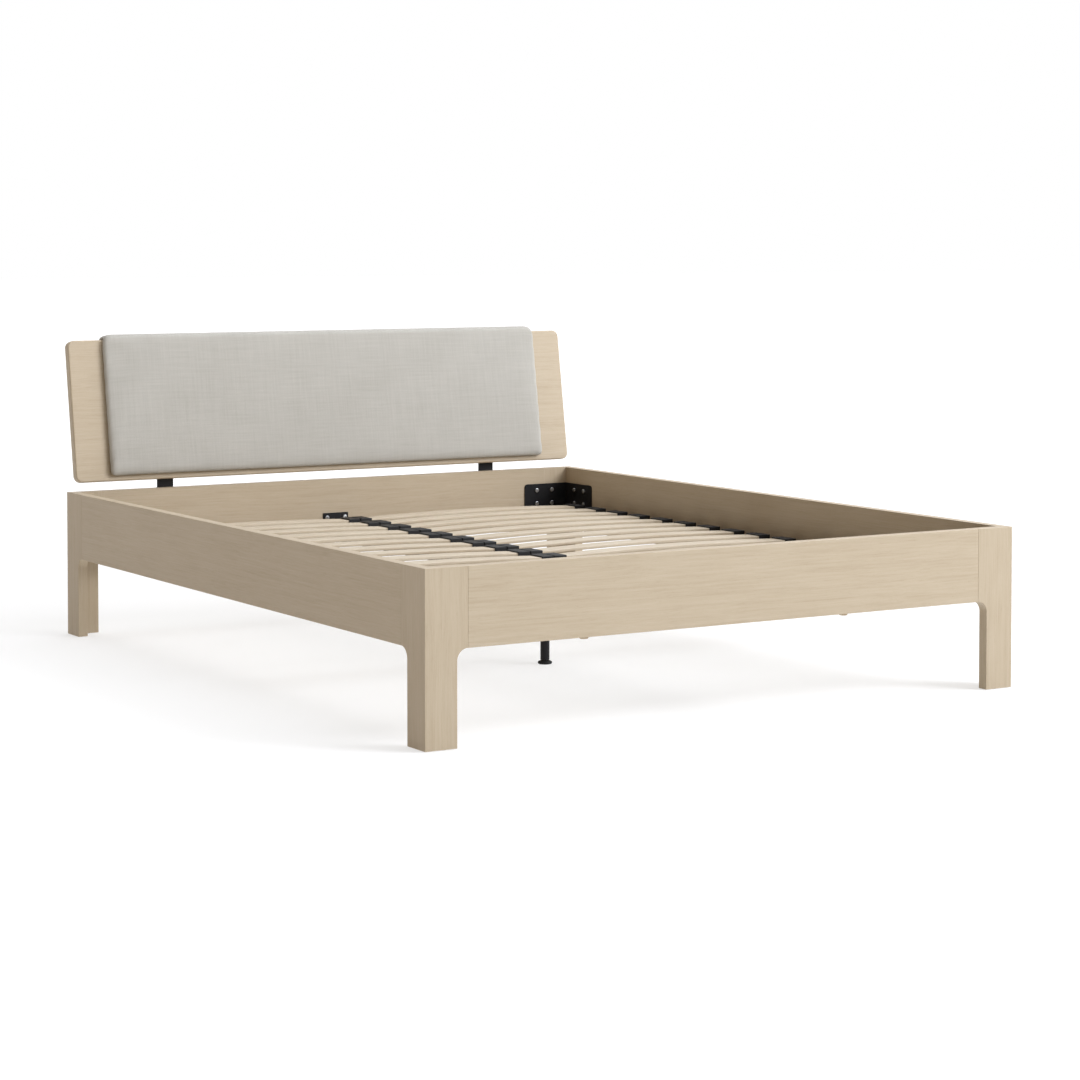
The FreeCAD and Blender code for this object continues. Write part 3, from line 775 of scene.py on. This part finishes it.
@dataclass
class HeadboardPad:
    """The slip-over pad: a crowned front cushion whose cover turns over the board into a short rear flap."""

    half_width: float = 0.742
    bottom: float = 0.012
    top: float = 0.435
    front: float = 0.0225
    rear: float = 0.0435
    board: float = 0.028
    gap: float = 0.004
    clear: float = 0.0006
    panel_high: float = 0.416
    flap_drop: float = 0.115
    corner: float = 0.031
    low_corner: float = 0.018
    shrink: float = 0.0012
    voxel: float = 0.0094
    puff: float = 0.0022
    edge: float = 0.0095
    margin: float = 0.005
    pressure: float = 4.0
    crown: float = 0.0022
    crown_power: float = 0.35
    crown_span: float = 2.1
    front_skin: float = 0.012
    frames: int = 20
    foot: Vector = field(default_factory=lambda: Vector((0.0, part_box("head_rail")[0][1], 0.443)))

    def place(self, x: float, u: float, v: float) -> Vector:
        """A point x across, u up and v back through the headboard."""
        return self.foot + Vector((x, 0.0, 0.0)) + UP_BOARD * u + INTO_BOARD * v

    def local(self, point: Vector) -> tuple[float, float, float]:
        """The x, u and v of a point.

        Args:
            point: The point.

        Returns:
            How far it lies across, up and back through the headboard.
        """
        offset = point - self.foot
        return point.x, offset.dot(UP_BOARD), offset.dot(INTO_BOARD)

    def outline(self) -> list[tuple[float, float]]:
        """The pad's end view as (v, u) points, a little smaller than its CAD solid.

        Returns:
            The points, in order.
        """
        small = self.shrink
        front = -self.front + small
        rear = self.rear - small
        ceiling = self.panel_high + self.gap
        flap = self.panel_high - self.flap_drop
        return [(front, self.bottom), (-self.clear, self.bottom), (-self.clear, ceiling),
                (self.board + self.clear, ceiling), (self.board + self.clear, flap), (rear, flap),
                (rear, self.top - small), (front, self.top - small)]

    def blank(self) -> bpy.types.Object:
        """The pad's solid before it is stuffed, with rounded edges and an even skin.

        Returns:
            The blank.
        """
        build = bmesh.new()
        half = self.half_width - self.shrink
        near = [build.verts.new(self.place(-half, u, v)) for v, u in self.outline()]
        far = [build.verts.new(self.place(half, u, v)) for v, u in self.outline()]
        build.faces.new(near)
        build.faces.new(list(reversed(far)))
        for number in range(len(near)):
            after = (number + 1) % len(near)
            build.faces.new([near[after], near[number], far[number], far[after]])
        bmesh.ops.recalc_face_normals(build, faces=build.faces)
        solid = object_from("pad_blank", build)
        bevel = solid.modifiers.new("edges", "BEVEL")
        bevel.width = self.edge
        bevel.segments = 4
        bevel.limit_method = "ANGLE"
        remesh = solid.modifiers.new("skin", "REMESH")
        remesh.mode = "VOXEL"
        remesh.voxel_size = self.voxel
        return plain_mesh(solid, "pad_blank")

    def faces_board(self, u: float, v: float) -> bool:
        """Whether a point lies on the inside of the pad, where it bears on the board.

        Args:
            u: How far up the headboard it is.
            v: How far back it is.

        Returns:
            True when it does.
        """
        inside = -self.margin < v < self.board + self.margin
        return inside and u < self.panel_high + self.gap + self.margin / 2

    def stuff(self, skin: bpy.types.Object) -> None:
        """Swells the outside with cloth under pressure, and caps how far it moves.

        Args:
            skin: The blank, which keeps its vertex order.
        """
        rest = [vertex.co.copy() for vertex in skin.data.vertices]
        held = skin.vertex_groups.new(name="held")
        inner = [number for number, point in enumerate(rest) if self.faces_board(*self.local(point)[1:])]
        held.add(inner, 1.0, "REPLACE")
        cloth = skin.modifiers.new("stuffing", "CLOTH")
        cloth.settings.use_pressure = True
        cloth.settings.uniform_pressure_force = self.pressure
        cloth.settings.effector_weights.gravity = 0.0
        cloth.settings.vertex_group_mass = "held"
        cloth.settings.quality = 5
        cloth.point_cache.frame_start = 1
        cloth.point_cache.frame_end = self.frames
        scene = bpy.context.scene
        for number in range(1, self.frames + 1):
            scene.frame_set(number)
        graph = bpy.context.evaluated_depsgraph_get()
        swollen = skin.evaluated_get(graph).to_mesh()
        moved = [vertex.co.copy() for vertex in swollen.vertices]
        skin.evaluated_get(graph).to_mesh_clear()
        skin.modifiers.remove(cloth)
        scene.frame_set(1)
        for vertex, start, end in zip(skin.data.vertices, rest, moved):
            step = end - start
            if step.length > self.puff:
                step *= self.puff / step.length
            vertex.co = start + step

    def round_corner(self, x: float, u: float, end: float, radius: float, way: float) -> tuple[float, float]:
        """Pulls a point of a square corner in to a round one.

        Args:
            x: The point's place across the bed.
            u: The point's place up the board.
            end: The height of the edge that the corner is on.
            radius: The corner's radius.
            way: 1 for an upper corner, -1 for a lower one.

        Returns:
            The point's new x and u.
        """
        over = abs(x) - (self.half_width - radius)
        past = way * (u - end) + radius
        if over <= 0 or past <= 0:
            return x, u
        pull = max(over, past) / math.hypot(over, past)
        return math.copysign(self.half_width - radius + over * pull, x), end + way * (past * pull - radius)

    def shape(self, skin: bpy.types.Object) -> None:
        """Crowns the front, rounds the corners and keeps the pad off the board.

        Args:
            skin: The stuffed blank.
        """
        for vertex in skin.data.vertices:
            x, u, v = self.local(vertex.co)
            if v < -self.front_skin:
                rise = math.cos(math.pi * x / (self.crown_span * self.half_width)) ** self.crown_power
                angle = math.pi * (u - self.bottom) / (self.top - self.bottom)
                rise *= max(0.0, math.sin(angle)) ** self.crown_power
                v -= self.crown * rise
            x, u = self.round_corner(x, u, self.top, self.corner, 1.0)
            x, u = self.round_corner(x, u, self.bottom, self.low_corner, -1.0)
            if v > self.board / 2:
                x, u = self.round_corner(x, u, self.panel_high - self.flap_drop, self.low_corner, -1.0)
            if self.faces_board(u, v) and v < self.board / 2:
                v = min(v, -self.clear)
            elif self.faces_board(u, v) and u < self.panel_high:
                v = max(v, self.board + self.clear)
            vertex.co = self.place(x, u, v)

    def build(self) -> bpy.types.Object:
        """Makes the pad.

        Returns:
            The finished pad.
        """
        skin = self.blank()
        self.stuff(skin)
        self.shape(skin)
        smooth = skin.modifiers.new("soften", "SMOOTH")
        smooth.factor = 0.5
        smooth.iterations = 3
        finer = skin.modifiers.new("finer", "SUBSURF")
        finer.levels = 1
        finer.render_levels = 1
        pad = plain_mesh(skin, "slip_over_pad")
        for polygon in pad.data.polygons:
            polygon.use_smooth = True
        dress(pad, PAD_LINEN.material())
        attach(pad, "headboard_pad")
        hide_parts("headboard_pad")
        log.info("made %s, %d faces", pad.name, len(pad.data.polygons))
        return pad


@dataclass
class StitchedSeams:
    """Rows of stitches that hold the pad's hems, repeated along each row by Geometry Nodes."""

    pad: HeadboardPad
    pitch: float = 0.0065
    stitch: float = 0.0044
    thread: float = 0.00055
    inset: float = 0.010
    proud: float = 0.0012
    lift: float = 0.4
    hem_steps: int = 40
    end_steps: int = 8

    def tree(self, material: bpy.types.Material) -> bpy.types.GeometryNodeTree:
        """The node tree that lays one stitch at each step along the rows.

        Args:
            material: The thread's material.

        Returns:
            The tree, with its sizes as named inputs.
        """
        tree = bpy.data.node_groups.new("stitch_rows", "GeometryNodeTree")
        face = tree.interface
        face.new_socket("Geometry", in_out="INPUT", socket_type="NodeSocketGeometry")
        for name in ("Pitch", "Stitch", "Thread"):
            face.new_socket(name, in_out="INPUT", socket_type="NodeSocketFloat")
        face.new_socket("Geometry", in_out="OUTPUT", socket_type="NodeSocketGeometry")
        nodes = tree.nodes
        inputs = nodes.new("NodeGroupInput")
        rows = nodes.new("GeometryNodeMeshToCurve")
        steps = nodes.new("GeometryNodeResampleCurve")
        steps.mode = "LENGTH"
        capsule = nodes.new("GeometryNodeMeshUVSphere")
        capsule.inputs["Segments"].default_value = 6
        capsule.inputs["Rings"].default_value = 5
        capsule.inputs["Radius"].default_value = 1.0
        stretch = nodes.new("ShaderNodeCombineXYZ")
        half = nodes.new("ShaderNodeMath")
        half.operation = "MULTIPLY"
        half.inputs[1].default_value = 0.5
        tangent = nodes.new("GeometryNodeInputTangent")
        aim = nodes.new("FunctionNodeAlignRotationToVector")
        lay = nodes.new("GeometryNodeInstanceOnPoints")
        real = nodes.new("GeometryNodeRealizeInstances")
        paint = nodes.new("GeometryNodeSetMaterial")
        paint.inputs["Material"].default_value = material
        output = nodes.new("NodeGroupOutput")
        join(tree, (
            (inputs.outputs["Geometry"], rows.inputs[0]),
            (rows.outputs[0], steps.inputs["Curve"]),
            (inputs.outputs["Pitch"], steps.inputs["Length"]),
            (steps.outputs[0], lay.inputs["Points"]),
            (capsule.outputs["Mesh"], lay.inputs["Instance"]),
            (tangent.outputs[0], aim.inputs["Vector"]),
            (aim.outputs[0], lay.inputs["Rotation"]),
            (inputs.outputs["Thread"], stretch.inputs[0]),
            (inputs.outputs["Thread"], stretch.inputs[1]),
            (inputs.outputs["Stitch"], half.inputs[0]),
            (half.outputs[0], stretch.inputs[2]),
            (stretch.outputs[0], lay.inputs["Scale"]),
            (lay.outputs[0], real.inputs[0]),
            (real.outputs[0], paint.inputs["Geometry"]),
            (paint.outputs[0], output.inputs[0]),
        ))
        return tree

    def rows(self) -> list[list[Vector]]:
        """The rows: one along the rear flap's hem and one up each end of the flap.

        Returns:
            Each row's points.
        """
        pad = self.pad
        low = pad.panel_high - pad.flap_drop + self.inset
        high = pad.top - pad.corner
        side = pad.half_width - self.inset
        back = pad.rear + self.proud
        hem = [pad.place(side * (2 * step / self.hem_steps - 1), low, back)
               for step in range(self.hem_steps + 1)]
        ends = [[pad.place(sign * side, low + (high - low) * step / self.end_steps, back)
                 for step in range(self.end_steps + 1)] for sign in (-1, 1)]
        return [hem, *ends]

    def settle(self, rows: list[list[Vector]], pad: bpy.types.Object) -> list[list[Vector]]:
        """Lays each row's points on the pad's surface.

        Args:
            rows: The rows.
            pad: The finished pad.

        Returns:
            The rows, laid down.
        """
        settled = []
        for row in rows:
            points = []
            for point in row:
                found, spot, normal, _ = pad.closest_point_on_mesh(point)
                points.append(spot + normal * self.thread * self.lift if found else point)
            settled.append(points)
        return settled

    def build(self, made_pad: bpy.types.Object) -> bpy.types.Object:
        """Makes the stitches.

        Args:
            made_pad: The finished pad, which they lie on.

        Returns:
            One mesh of all the stitches.
        """
        build = bmesh.new()
        for row in self.settle(self.rows(), made_pad):
            points = [build.verts.new(point) for point in row]
            for near, far in zip(points, points[1:]):
                build.edges.new((near, far))
        rows = object_from("stitch_rows", build)
        values = {"Pitch": self.pitch, "Stitch": self.stitch, "Thread": self.thread}
        run_nodes(rows, self.tree(THREAD.material()), values)
        stitches = plain_mesh(rows, "pad_hem_stitches")
        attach(stitches, "headboard_pad")
        log.info("made %s, %d faces", stitches.name, len(stitches.data.polygons))
        return stitches


@dataclass
class ThreadedSpindle:
    """The centre leg's spindle with its real screw thread, one ridge that winds up the whole shank."""

    pitch: float = 0.0015
    depth: float = 0.0006
    sides: int = 24
    steps: int = 4

    def build(self) -> bpy.types.Object:
        """Makes the spindle in place of the plain rod.

        Returns:
            The spindle.
        """
        low, high = (Vector(corner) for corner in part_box("levelling_spindle"))
        radius = (high.x - low.x) / 2
        middle = (low + high) / 2
        long = high.z - low.z
        rings = round(long / self.pitch) * self.steps
        skin = []
        for ring in range(rings + 1):
            loop = []
            for side in range(self.sides):
                turn = side / self.sides
                phase = (ring / self.steps - turn) % 1.0
                taper = min(1.0, ring / self.steps, (rings - ring) / self.steps)
                reach = radius - self.depth * (1.0 - taper * (1.0 - abs(2.0 * phase - 1.0)))
                angle = 2 * math.pi * turn
                loop.append(Vector((middle.x + reach * math.cos(angle), middle.y + reach * math.sin(angle),
                                    low.z + long * ring / rings)))
            skin.append(loop)
        spindle = loft("screw_spindle", skin)
        dress(spindle, STEEL_THREAD.material())
        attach(spindle, "levelling_spindle")
        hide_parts("levelling_spindle")
        log.info("made %s, %d faces", spindle.name, len(spindle.data.polygons))
        return spindle


COOL = (0.96, 0.99, 1.06)
WARM = (1.0, 0.66, 0.34)


@dataclass(frozen=True)
class SoftLight:
    """One square soft light, with its place and side in metres and its power in watts."""

    name: str
    place: tuple[float, float, float]
    size: float
    power: float
    colour: Colour

    def hang(self, target: Vector) -> None:
        """Hangs the light.

        Args:
            target: The point that it faces.
        """
        data = bpy.data.lights.new(self.name, "AREA")
        data.shape = "SQUARE"
        data.size = self.size
        data.energy = self.power
        data.color = self.colour
        lamp = bpy.data.objects.new(self.name, data)
        lamp.location = self.place
        lamp.rotation_euler = (target - Vector(self.place)).to_track_quat("-Z", "Y").to_euler()
        bpy.context.scene.collection.objects.link(lamp)


@dataclass
class Studio:
    """A white studio: pale floor, one big soft light from the right and a pale sky."""

    camera_at: Vector = field(default_factory=lambda: Vector((-3.8246, -6.4979, 1.1645)))
    camera_turn: float = math.radians(-31.27)
    camera_tilt: float = math.radians(-2.32)
    lens: float = 91.65
    drop: float = -0.18
    bright: float = 0.98
    dim: float = 0.04
    dim_tint: Colour = (1.0, 0.84, 0.62)
    floor_shade: float = 0.42
    near_glow: float = 0.6
    far_glow: float = 0.95
    glow_start: float = 2.6
    glow_end: float = 7.0
    lights: tuple[SoftLight, ...] = (
        SoftLight("key", (6.0, -6.2, 5.6), 4.8, 880.0, COOL),
        SoftLight("top", (0.6, 0.4, 5.5), 5.0, 160.0, COOL),
        SoftLight("fill", (-7.0, -0.5, 1.8), 4.0, 40.0, WARM),
    )
    aim: tuple[float, float, float] = (0.0, 0.0, 0.3)

    def camera(self) -> None:
        """Stands the camera left of the foot end, nearly level, with a shift that keeps uprights upright."""
        data = bpy.data.cameras.new("camera")
        data.sensor_width = 36.0
        data.lens = self.lens
        data.shift_y = self.drop
        data.clip_end = 200.0
        camera = bpy.data.objects.new("camera", data)
        camera.location = self.camera_at
        camera.rotation_euler = Euler((math.pi / 2 + self.camera_tilt, 0.0, self.camera_turn))
        bpy.context.scene.collection.objects.link(camera)
        bpy.context.scene.camera = camera

    def floor(self) -> None:
        """A broad pale floor that glows a little, and more far away, so that it meets the sky unseen."""
        build = bmesh.new()
        bmesh.ops.create_grid(build, x_segments=1, y_segments=1, size=60.0)
        ground = object_from("studio_floor", build)
        sketch = ShaderSketch("studio_white")
        sketch.shader.inputs["Base Color"].default_value = (*(self.floor_shade,) * 3, 1.0)
        sketch.shader.inputs["Emission Color"].default_value = (1.0, 1.0, 1.0, 1.0)
        coordinates = sketch.add("ShaderNodeTexCoord")
        distance = sketch.add("ShaderNodeVectorMath", operation="LENGTH")
        sketch.feed(distance.inputs[0], coordinates.outputs["Object"])
        glow = sketch.add("ShaderNodeMapRange", interpolation_type="SMOOTHSTEP")
        sketch.feed(glow.inputs["Value"], distance.outputs["Value"])
        glow.inputs["From Min"].default_value = self.glow_start
        glow.inputs["From Max"].default_value = self.glow_end
        glow.inputs["To Min"].default_value = self.near_glow
        glow.inputs["To Max"].default_value = self.far_glow
        sketch.feed(sketch.shader.inputs["Emission Strength"], glow.outputs["Result"])
        sketch.shader.inputs["Roughness"].default_value = 0.9
        sketch.shader.inputs["Specular IOR Level"].default_value = 0.0
        dress(ground, sketch.material)

    def build(self) -> None:
        """Sets the camera, the floor, the lights and the sky."""
        self.camera()
        self.floor()
        for light in self.lights:
            light.hang(Vector(self.aim))
        self.sky()
        bpy.context.scene.view_settings.view_transform = "Standard"

    def sky(self) -> None:
        """A white room that is darker and warmer towards the left, and plain white to look at."""
        world = bpy.data.worlds.new("pale_sky")
        world.use_nodes = True
        tree = world.node_tree
        nodes = tree.nodes
        room = nodes["Background"]
        seen = nodes.new("ShaderNodeBackground")
        coordinates = nodes.new("ShaderNodeTexCoord")
        leftward = nodes.new("ShaderNodeVectorMath")
        leftward.operation = "DOT_PRODUCT"
        leftward.inputs[1].default_value = (-0.97, -0.24, 0.0)
        fade = nodes.new("ShaderNodeMapRange")
        fade.interpolation_type = "SMOOTHSTEP"
        fade.inputs["From Min"].default_value = -0.1
        fade.inputs["From Max"].default_value = 0.5
        blend = nodes.new("ShaderNodeMix")
        blend.data_type = "RGBA"
        blend.inputs["A"].default_value = (self.bright, self.bright, self.bright, 1.0)
        blend.inputs["B"].default_value = (*(part * self.dim for part in self.dim_tint), 1.0)
        paths = nodes.new("ShaderNodeLightPath")
        choose = nodes.new("ShaderNodeMixShader")
        join(tree, (
            (coordinates.outputs["Generated"], leftward.inputs[0]),
            (leftward.outputs["Value"], fade.inputs["Value"]),
            (fade.outputs["Result"], blend.inputs["Factor"]),
            (blend.outputs["Result"], room.inputs["Color"]),
            (paths.outputs["Is Camera Ray"], choose.inputs["Fac"]),
            (room.outputs["Background"], choose.inputs[1]),
            (seen.outputs["Background"], choose.inputs[2]),
            (choose.outputs["Shader"], nodes["World Output"].inputs["Surface"]),
        ))
        seen.inputs["Color"].default_value = (1.0, 1.0, 1.0, 1.0)
        bpy.context.scene.world = world


def main() -> None:
    """Builds the studio, dresses the CAD nodes and makes the soft pieces."""
    logging.basicConfig(level=logging.INFO, format="%(name)s: %(message)s")
    Studio().build()
    slots = {part["node"]: part["material_slot"] for part in frame["record"]["subparts"]}
    Woodwork().dress_boards(slots)
    Ironwork().dress_pieces(slots)
    for number, side in enumerate(("left", "right")):
        SlatRow(side).build(90 + number)
    pad = HeadboardPad()
    made_pad = pad.build()
    StitchedSeams(pad).build(made_pad)
    ThreadedSpindle().build()


if __name__ == "__main__":
    main()
